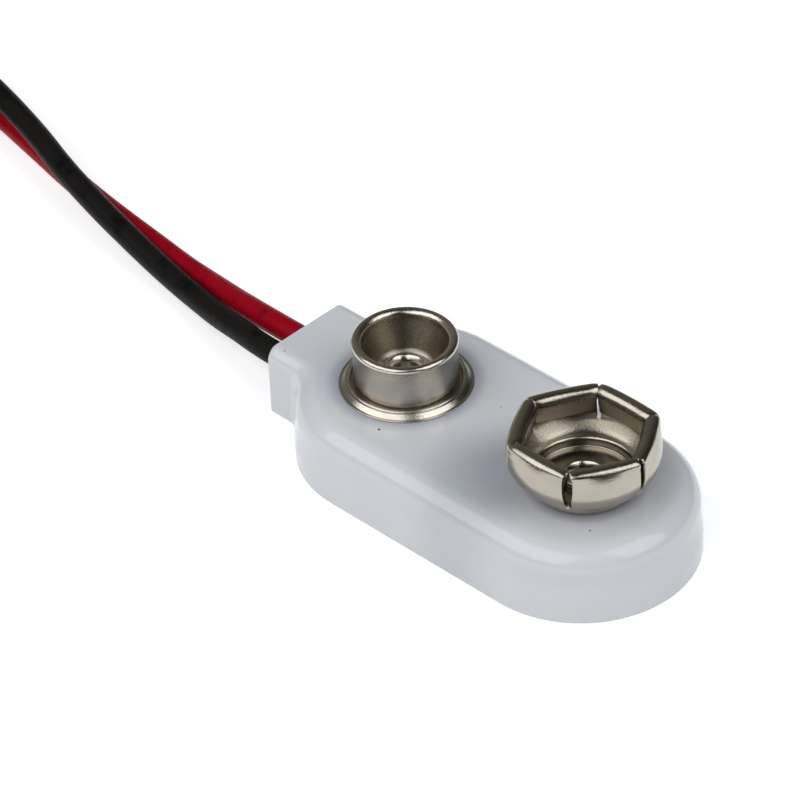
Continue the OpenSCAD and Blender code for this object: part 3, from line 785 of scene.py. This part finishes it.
# Socket
# The spring contact is one piece of the same sheet: a round cup, slit into six petals that
# are pressed flat on their sides and rolled over at the top, with straight flaps inside.
petals = 6
cup_r = 2.9
cup_bend = 0.36
throat_r = 2.84
petal_roll = 0.47
socket_h = (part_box("snap_socket")[1].z / mm - body_h) - inside_box
flap_turn = 190
flap_len = 1.0
# Under its roll a petal bulges, and then curves in more tightly, in degrees from level
bulge_r = 2.7
bulge_from, bulge_to = 26, 4
under_r = 1.6
under_to = -48
# A soft bend leads from the foot of the cup, which leans out, to that curve
root_z = 0.68
root_round = 0.06
root_lean = 15
bend_pull = 0.25
# How flat a petal's side is pressed, from round at 0 to flat at 1
flattest = 0.8
# The rows of the lower curve that stay whole, and the height up to which a slit stays narrow
whole_rows = 4
slit_z = 1.72
# How wide each slit is at its widest, from the corner at +X on
slit_ws = (0.30, 0.10, 0.32, 0.07, 0.08, 0.56)
# The outer share of each half of a roll is drawn in towards its middle line, from a little
# under that line on, and in full a little over it
roll_end = 0.2
roll_draw = 0.16
roll_under = 0.3
roll_over = 0.5


def eased(corners):
    """A line through corners (x, y, radius), with each one but the ends rounded."""
    points = [corners[0][:2]]
    for (ax, ay, _), (bx, by, radius), (cx, cy, _) in zip(corners, corners[1:], corners[2:]):
        back = Vector((ax - bx, ay - by)).normalized()
        on = Vector((cx - bx, cy - by)).normalized()
        half = back.angle(on) / 2
        cut_off = radius / math.tan(half)
        middle = Vector((bx, by)) + (back + on).normalized() * radius / math.sin(half)
        first = Vector((bx, by)) + back * cut_off - middle
        turn = math.pi - 2 * half
        side = 1 if back.x * on.y - back.y * on.x < 0 else -1
        for i in range(9):
            points.append(tuple(middle + Matrix.Rotation(side * turn * i / 8, 2) @ first))
    points.append(corners[-1][:2])
    return points


def toward(degrees):
    """One step in a direction, in the plane of a section."""
    return Vector((math.cos(math.radians(degrees)), math.sin(math.radians(degrees))))


def sheet_line():
    """Middle of the socket's sheet as (radius, height), and how many rows lie under the slits."""
    half_t = sheet_t / 2
    roll_c = (throat_r + petal_roll, socket_h - petal_roll)
    top = arc(roll_c, petal_roll - half_t, bulge_from, flap_turn, 26)
    bulge_c = Vector(top[0]) - (bulge_r - half_t) * toward(bulge_from)
    bulge = arc(bulge_c, bulge_r - half_t, bulge_to, bulge_from, 14)
    under_c = bulge_c + (bulge_r - under_r) * toward(bulge_to)
    under = arc(under_c, under_r - half_t, under_to, bulge_to, 12)
    root, corner = Vector((cup_r - half_t, root_z)), Vector(under[0])
    cone = geometry.interpolate_bezier(root, root + bend_pull * toward(root_lean),
                                       corner - bend_pull * toward(90 + under_to), corner, 9)
    low = eased([(hole_r, half_t, 0), (root.x, half_t, cup_bend - half_t),
                 (*root, root_round), (*cone[2], 0)])
    low += [tuple(v) for v in cone[3:-1]] + under[:whole_rows]
    flap = [
        (top[-1][0] - flap_len * i / 6 * math.sin(math.radians(flap_turn)),
         top[-1][1] + flap_len * i / 6 * math.cos(math.radians(flap_turn)))
        for i in range(1, 7)
    ]
    return low + under[whole_rows:] + bulge[1:-1] + top + flap, len(low)


def between(stops, z):
    """Value at a height, from stops of (height, value)."""
    for (z0, w0), (z1, w1) in zip(stops, stops[1:]):
        if z <= z1:
            return w0 + (w1 - w0) * max(0.0, z - z0) / (z1 - z0)
    return stops[-1][1]


# By height: width of a slit as a share of its widest, and how flat the petals are
open_stops = [(slit_z, 0.62), (1.9, 0.78), (2.1, 0.9), (2.4, 1.0), (3.1, 0.95), (3.25, 0.8),
              (socket_h, 0.1)]
flat_stops = [(root_z, 0), (1.4, 0.1), (2.1, 0.16), (2.6, 0.27), (3.0, 0.5), (3.28, flattest)]


def sector():
    """One sixth of the socket's sheet: a petal with its share of the cup, and for each point
    how far it moves when the slits open."""
    line, low_rows = sheet_line()
    columns = 28
    roll_c = Vector((throat_r + petal_roll, socket_h - petal_roll))
    crest = max(range(len(line)), key=lambda row: line[row][1])
    half = math.pi / petals
    least = 0.02
    points, faces, pulls = [], [], []
    for row, (radius, z) in enumerate(line):
        flat = between(flat_stops, z) if row < crest else flattest
        reach_a = half - math.asin(least / radius * math.cos(half * flat))
        for column in range(-1, columns + 2):
            edge = column < 0 or column > columns
            share = 2 * min(max(column, 0), columns) / columns - 1
            a = math.copysign(half, column) if edge else share * reach_a
            near_end = max(0.0, abs(share) - (1 - roll_end)) / roll_end
            spot = Vector((radius, z))
            if row >= low_rows and spot.y > roll_c.y - roll_under:
                over = min(1.0, (spot.y - roll_c.y + roll_under) / roll_over)
                blend = over if row < crest + 8 else 1.0
                spot = spot.lerp(roll_c, roll_draw * blend * near_end ** 2)
            r = spot.x * ((1 - flat) + flat / math.cos(a))
            points.append((r * math.cos(a), r * math.sin(a), spot.y))
            if row <= crest:
                opening = between(open_stops, z)
            else:
                # On the inside a slit opens again, down the flaps
                opening = 0.1 + 0.8 * min(1.0, (socket_h - z) / 1.2)
            pulls.append(0 if edge or row < low_rows else share * opening)
    width = columns + 3
    for row in range(len(line) - 1):
        first, last = (0, width - 1) if row < low_rows - 1 else (1, width - 2)
        for column in range(first, last):
            a = row * width + column
            faces.append((a, a + 1, a + width + 1, a + width))
    return points, faces, pulls


def ring_tree():
    """Repeats a sector round the Z axis, opens each slit to its own width and joins them."""
    tree, takes = start_tree("petal_ring", {"Sector": "Geometry", "Petals": "Int",
                                            "Corners": "Object", "Seat": "Vector",
                                            "Finish": "Material"})
    spots = put(tree, "GeometryNodeMeshLine", {"Count": takes["Petals"],
                                               "Offset": (0, 0, 0)}).outputs[0]
    number = tree.nodes.new("GeometryNodeInputIndex").outputs[0]
    numbered = put(tree, "GeometryNodeStoreNamedAttribute",
                   {"Geometry": spots, "Name": "petal", "Value": number},
                   data_type="FLOAT", domain="POINT").outputs[0]
    part = reckon(tree, "DIVIDE", 2 * math.pi, takes["Petals"])

    def middle_of(petal):
        return reckon(tree, "MULTIPLY", reckon(tree, "ADD", petal, 0.5), part)

    swing = put(tree, "ShaderNodeCombineXYZ", {"Z": middle_of(number)}).outputs[0]
    copies = put(tree, "GeometryNodeInstanceOnPoints",
                 {"Points": numbered, "Instance": takes["Sector"], "Rotation": swing}).outputs[0]
    real = put(tree, "GeometryNodeRealizeInstances", {"Geometry": copies}).outputs[0]
    petal, pull = (
        put(tree, "GeometryNodeInputNamedAttribute", {"Name": name}, data_type="FLOAT").outputs[0]
        for name in ("petal", "pull")
    )
    # A point past the middle of its petal belongs to the next corner
    after = reckon(tree, "GREATER_THAN", pull, 0)
    corner = reckon(tree, "FLOORED_MODULO", reckon(tree, "ADD", petal, after), takes["Petals"])
    widths = put(tree, "GeometryNodeObjectInfo", {"Object": takes["Corners"]}).outputs["Geometry"]
    place = tree.nodes.new("GeometryNodeInputPosition").outputs[0]
    width = put(tree, "GeometryNodeSampleIndex",
                {"Geometry": widths, "Value": place, "Index": corner},
                data_type="FLOAT_VECTOR", domain="POINT").outputs["Value"]
    width = put(tree, "ShaderNodeSeparateXYZ", {0: width}).outputs["X"]
    back = reckon(tree, "MULTIPLY", reckon(tree, "MULTIPLY", pull, width), -0.5)
    step = put(tree, "ShaderNodeCombineXYZ", {"Y": back}).outputs[0]
    step = put(tree, "ShaderNodeVectorRotate", {"Vector": step, "Angle": middle_of(petal)},
               rotation_type="Z_AXIS").outputs[0]
    opened = put(tree, "GeometryNodeSetPosition", {"Geometry": real, "Offset": step}).outputs[0]
    return end_tree(tree, joined_and_seated(tree, opened, 1e-6, takes["Seat"]), takes["Finish"])


# The socket's plate is the stud's nickel again, painted darker and yellower as shade
socket_shaded_light, socket_shaded_dark = (0.455, 0.415, 0.352, 1), (0.4, 0.363, 0.305, 1)
socket_plate = nickel("socket_plate", socket_shaded_light, socket_shaded_dark, 0.14, 0.25,
                      dull_and_shaded=(socket_x, body_h + 1, body_h + socket_h - petal_roll))
corners = solid("slit_corners", [(width, 0, 0) for width in slit_ws], [], socket_plate,
                smooth=False)
sector_points, sector_faces, pulls = sector()
socket = solid("socket", sector_points, sector_faces, socket_plate)
pull = socket.data.attributes.new("pull", "FLOAT", "POINT")
pull.data.foreach_set("value", pulls)
cut_edge = 0.05
shaped(
    socket,
    ring_tree(),
    {"Petals": petals, "Corners": corners, "Seat": Vector((socket_x, 0, body_h)) * mm,
     "Finish": socket_plate},
    more=[
        ("SOLIDIFY", {"thickness": sheet_t * mm, "offset": 0, "use_even_offset": True}),
        ("BEVEL", {"width": cut_edge * mm, "segments": 2, "limit_method": "ANGLE",
                   "angle_limit": math.radians(50)}),
    ],
)
bpy.data.objects.remove(corners)
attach(socket, "root")
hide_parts("snap_socket")

# Eyelets
# A hollow eyelet of the same plate holds each contact. Its head, a thin lip round a funnel,
# shows inside the contact, and its tail is clinched over the solder tag under the board.
eyelet_r = 0.85
eyelet_wall = 0.34
head_r = 1.2
head_t = 0.34
head_lip = 0.14
# The funnel's wall: how thick it is, and the height over the seat
funnel = ((0.05, 0.12), (0.08, 0.04), (0.15, -0.3), (eyelet_wall, -1))
clinch_r = 1.3
clinch_t = 0.25
clinch_z = 2.45
eyelet_plate = nickel("eyelet_plate", nickel_light, nickel_dark, 0.08, 0.2)


def eyelet(name, x, seat_z, node):
    section = (
        [(eyelet_r - eyelet_wall, clinch_z)]
        + arc((clinch_r - clinch_t / 2, clinch_z + clinch_t / 2), clinch_t / 2, -90, 90, 8)
        + [(eyelet_r, clinch_z + clinch_t), (eyelet_r, seat_z), (head_r, seat_z)]
        + arc((head_r - head_lip, seat_z + head_t - head_lip), head_lip, 0, 135, 18)
        + [(eyelet_r - wall, seat_z + height) for wall, height in funnel]
    )
    piece = turned_piece(name, section, (x, 0, 0), eyelet_plate, 96)
    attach(piece, "root")
    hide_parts(node)


eyelet("eyelet_in_stud", stud_x, body_h + bowl_floor, "stud_eyelet")
eyelet("eyelet_in_socket", socket_x, body_h + sheet_t, "socket_eyelet")

# Tinned ends
# Both leads are stripped and tinned at the end: six fine strands twisted round a seventh.
tinned_len = 4
strand_r = 0.083
strand_turns = 1.4
tin, tin_tree, tin_shader, tin_place = finish_start("tinned_copper")
tin_marks = skin_marks(tin_tree, tin_place, 1500, 9000)
tin_tree.links.new(mix_colour(tin_tree, tin_marks["Cloud"], (0.62, 0.62, 0.63, 1),
                              (0.48, 0.47, 0.46, 1)), tin_shader.inputs["Base Color"])
tin_tree.links.new(spread(tin_tree, tin_marks["Grain"], 0.3, 0.7, 0.25, 0.45),
                   tin_shader.inputs["Roughness"])
tin_shader.inputs["Metallic"].default_value = 1


def strand_tree():
    """Twists strands round a straight line and lays one along it."""
    tree, takes = start_tree("twisted_strands", {"Line": "Geometry", "Strands": "Int",
                                                 "Strand radius": "Float", "Turns": "Float",
                                                 "Finish": "Material"})
    line = put(tree, "GeometryNodeMeshToCurve", {"Mesh": takes["Line"]}).outputs[0]
    fine = put(tree, "GeometryNodeResampleCurve", {"Curve": line, "Count": 40}).outputs[0]
    copies = put(tree, "GeometryNodeDuplicateElements",
                 {"Geometry": fine, "Amount": takes["Strands"]}, domain="SPLINE").outputs
    part = reckon(tree, "DIVIDE", copies["Duplicate Index"], takes["Strands"])
    along = put(tree, "GeometryNodeSplineParameter").outputs["Factor"]
    turns = reckon(tree, "ADD", part, reckon(tree, "MULTIPLY", along, takes["Turns"]))
    angle = reckon(tree, "MULTIPLY", turns, 2 * math.pi)
    way = tree.nodes.new("GeometryNodeInputTangent").outputs[0]
    side = tree.nodes.new("GeometryNodeInputNormal").outputs[0]
    swung = put(tree, "ShaderNodeVectorRotate", {"Vector": side, "Axis": way, "Angle": angle},
                rotation_type="AXIS_ANGLE").outputs[0]
    out = reckon(tree, "MULTIPLY", takes["Strand radius"], 2)
    offset = put(tree, "ShaderNodeVectorMath", {0: swung, "Scale": out}, operation="SCALE")
    wrapped = put(tree, "GeometryNodeSetPosition", {"Geometry": copies["Geometry"],
                                                    "Offset": offset.outputs[0]}).outputs[0]
    bundle = tree.nodes.new("GeometryNodeJoinGeometry")
    tree.links.new(wrapped, bundle.inputs[0])
    tree.links.new(fine, bundle.inputs[0])
    ring = put(tree, "GeometryNodeCurvePrimitiveCircle", {"Resolution": 10,
                                                         "Radius": takes["Strand radius"]})
    wires = put(tree, "GeometryNodeCurveToMesh", {"Curve": bundle.outputs[0],
                                                  "Profile Curve": ring.outputs[0],
                                                  "Fill Caps": True}).outputs[0]
    return end_tree(tree, wires, takes["Finish"])


strands = strand_tree()
for colour in ("red", "black"):
    line = lead_line(colour)
    heading = math.radians(coil_start + tail_steps[colour] * tail_step + 90)
    far = line[-1] + tinned_len * Vector((math.cos(heading), math.sin(heading), 0))
    mesh = bpy.data.meshes.new(colour + "_tinned_end")
    mesh.from_pydata([line[-1] * mm, far * mm], [(0, 1)], [])
    tip = bpy.data.objects.new(colour + "_tinned_end", mesh)
    scene.collection.objects.link(tip)
    shaped(tip, strands, {"Strands": 6, "Strand radius": strand_r * mm, "Turns": strand_turns,
                          "Finish": tin})
    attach(tip, "root")
    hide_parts(colour + "_tip")

# Board, tags and solder
# Inside the moulding a strip of brown fibre board carries both contacts, and the stripped
# leads are soldered to brass tags under it.
fibre, fibre_tree, fibre_shader, fibre_place = finish_start("brown_fibre")
fibre_marks = skin_marks(fibre_tree, fibre_place, 900, 6000)
fibre_tree.links.new(mix_colour(fibre_tree, fibre_marks["Cloud"], (0.20, 0.10, 0.045, 1),
                                (0.30, 0.17, 0.08, 1)), fibre_shader.inputs["Base Color"])
fibre_tree.links.new(spread(fibre_tree, fibre_marks["Grain"], 0.3, 0.7, 0.6, 0.85),
                     fibre_shader.inputs["Roughness"])
tag_brass = nickel("tag_brass", (0.78, 0.60, 0.27, 1), (0.62, 0.46, 0.20, 1), 0.2, 0.4)
solder_tin = nickel("solder_tin", (0.62, 0.63, 0.64, 1), (0.5, 0.5, 0.5, 1), 0.25, 0.5)
inside = {
    "carrier_board": fibre,
    "stud_tag": tag_brass,
    "socket_tag": tag_brass,
    "stud_solder": solder_tin,
    "socket_solder": solder_tin,
    "black_lead_root": lead_skins["black"],
    "red_lead_root": lead_skins["red"],
}
for node_name, material in inside.items():
    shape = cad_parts[node_name].data
    shape.materials.clear()
    shape.materials.append(material)
